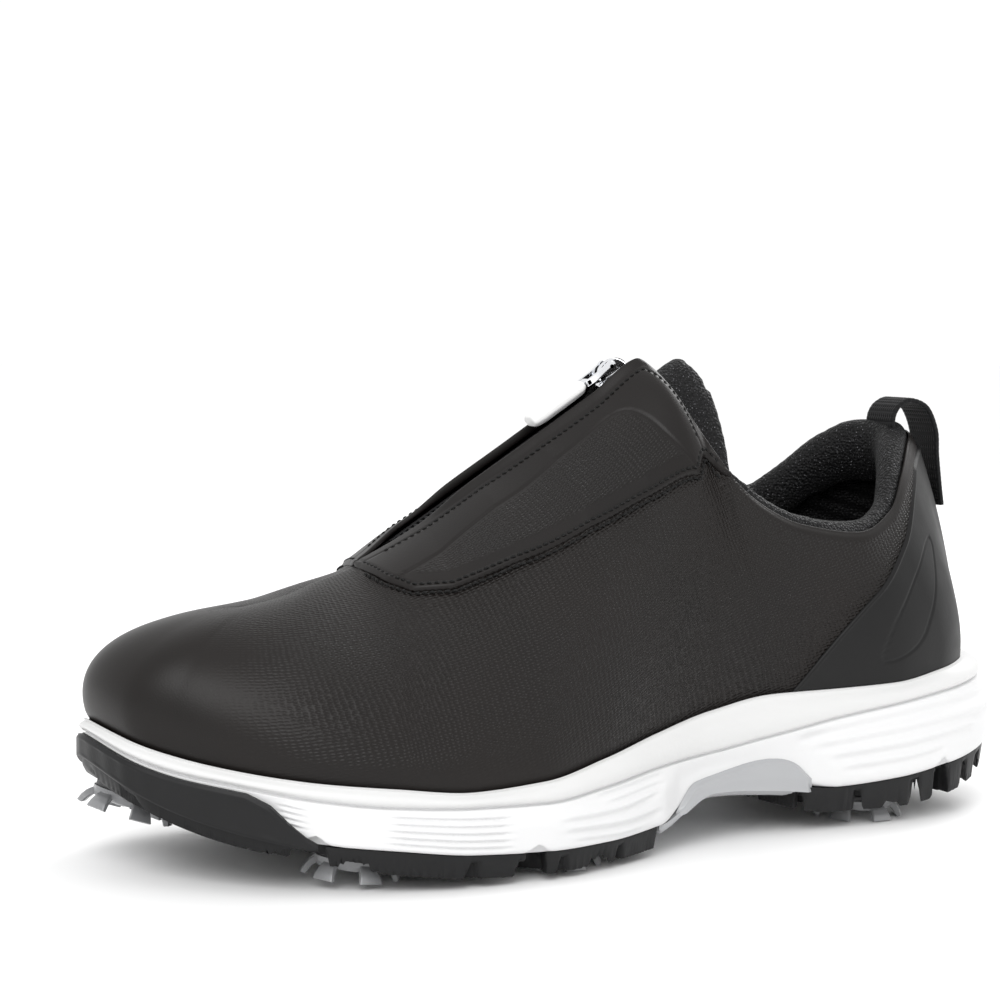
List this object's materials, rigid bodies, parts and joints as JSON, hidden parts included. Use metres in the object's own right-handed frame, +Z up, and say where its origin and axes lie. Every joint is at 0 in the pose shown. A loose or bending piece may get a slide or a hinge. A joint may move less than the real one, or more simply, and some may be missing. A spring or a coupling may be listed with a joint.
{
  "type": "golf shoe",
  "caption": "Left slip-on golf shoe with a central zip over the instep, a padded collar and heel loop, a thick foam midsole and a rubber outsole with twist-lock soft cleats.",
  "frame": {"origin": "on the ground under the middle of the shoe's box; the cleats' feet are at z = 0", "axes": "+X from toe to heel (toe at -X), +Y towards the inner (medial) side of the left foot, +Z up"},
  "size_m": [0.3004, 0.112, 0.1418],
  "materials": {
    "midsole_foam": "moulded foam, satin",
    "shank_plastic": "glossy moulded plastic",
    "outsole_rubber": "moulded rubber, matte",
    "receptacle_nylon": "moulded nylon",
    "cleat_plastic": "moulded plastic, satin",
    "board": "stitched fibre board",
    "insole_fabric": "woven top cloth on foam",
    "upper_leather": "embossed, soft sheen",
    "panel_leather": "smooth with an inset grain field",
    "lining_mesh": "ribbed mesh",
    "stiffener": "thermoformed sheet",
    "overlay_film": "smooth moulded film, satin",
    "knit_mesh": "open knit mesh",
    "webbing": "ribbed webbing",
    "zip_tape": "woven tape",
    "zip_coil": "moulded nylon",
    "zip_metal": "polished plated metal",
    "pull_plastic": "moulded, satin gloss"
  },
  "bodies": {
    "shoe": {"midsole": "midsole_foam", "shank_plate": "shank_plastic", "forefoot_outsole": "outsole_rubber", "heel_outsole": "outsole_rubber", "cleat_receptacles": "receptacle_nylon", "strobel_board": "board", "insole": "insole_fabric", "upper_shell": "upper_leather", "lining": "lining_mesh", "toe_puff": "stiffener", "heel_stiffener": "stiffener", "heel_overlay": "overlay_film", "instep_panel_lateral": "panel_leather", "instep_panel_medial": "panel_leather", "tongue_gusset": "knit_mesh", "collar_padding": "knit_mesh", "pull_loop": "webbing", "zip_tape_lateral": "zip_tape", "zip_tape_medial": "zip_tape", "zip_teeth_lateral": "zip_coil", "zip_teeth_medial": "zip_coil", "zip_top_stops": "zip_coil", "zip_bottom_stop": "zip_coil"},
    "slider": {"zip_slider": "zip_metal"},
    "pull": {"zip_pull_link": "zip_metal", "zip_pull_grip": "pull_plastic"},
    "cleat_toe": {"cleat_toe": "cleat_plastic"},
    "cleat_ball_medial_front": {"cleat_ball_medial_front": "cleat_plastic"},
    "cleat_ball_medial_rear": {"cleat_ball_medial_rear": "cleat_plastic"},
    "cleat_ball_lateral_front": {"cleat_ball_lateral_front": "cleat_plastic"},
    "cleat_ball_lateral_rear": {"cleat_ball_lateral_rear": "cleat_plastic"},
    "cleat_heel_lateral": {"cleat_heel_lateral": "cleat_plastic"},
    "cleat_heel_medial": {"cleat_heel_medial": "cleat_plastic"}
  },
  "joints": [
    {"name": "zip_slide", "type": "slide", "parent": "shoe", "child": "slider", "axis": [-0.8427, 0, -0.5384], "range_m": [0, 0.07]},
    {"name": "pull_swing", "type": "hinge", "parent": "slider", "child": "pull", "pos_m": [0.00863, 0.004, 0.13841], "axis": [0, 1, 0], "range_deg": [0, 165]},
    {"name": "cleat_toe_twist", "type": "hinge", "parent": "shoe", "child": "cleat_toe", "pos_m": [-0.134, 0.018, 0.019], "axis": [0.309, 0, 0.9511], "range_deg": [0, 60]},
    {"name": "cleat_ball_medial_front_twist", "type": "hinge", "parent": "shoe", "child": "cleat_ball_medial_front", "pos_m": [-0.095, 0.032, 0.0076], "axis": [0.1045, 0, 0.9945], "range_deg": [0, 60]},
    {"name": "cleat_ball_medial_rear_twist", "type": "hinge", "parent": "shoe", "child": "cleat_ball_medial_rear", "pos_m": [-0.05, 0.033, 0.006], "axis": [0, 0, 1], "range_deg": [0, 60]},
    {"name": "cleat_ball_lateral_front_twist", "type": "hinge", "parent": "shoe", "child": "cleat_ball_lateral_front", "pos_m": [-0.087, -0.03, 0.0074], "axis": [0.0872, 0, 0.9962], "range_deg": [0, 60]},
    {"name": "cleat_ball_lateral_rear_twist", "type": "hinge", "parent": "shoe", "child": "cleat_ball_lateral_rear", "pos_m": [-0.027, -0.033, 0.006], "axis": [0, 0, 1], "range_deg": [0, 60]},
    {"name": "cleat_heel_lateral_twist", "type": "hinge", "parent": "shoe", "child": "cleat_heel_lateral", "pos_m": [0.09, -0.013, 0.006], "axis": [0, 0, 1], "range_deg": [0, 60]},
    {"name": "cleat_heel_medial_twist", "type": "hinge", "parent": "shoe", "child": "cleat_heel_medial", "pos_m": [0.094, 0.03, 0.006], "axis": [0, 0, 1], "range_deg": [0, 60]}
  ]
}
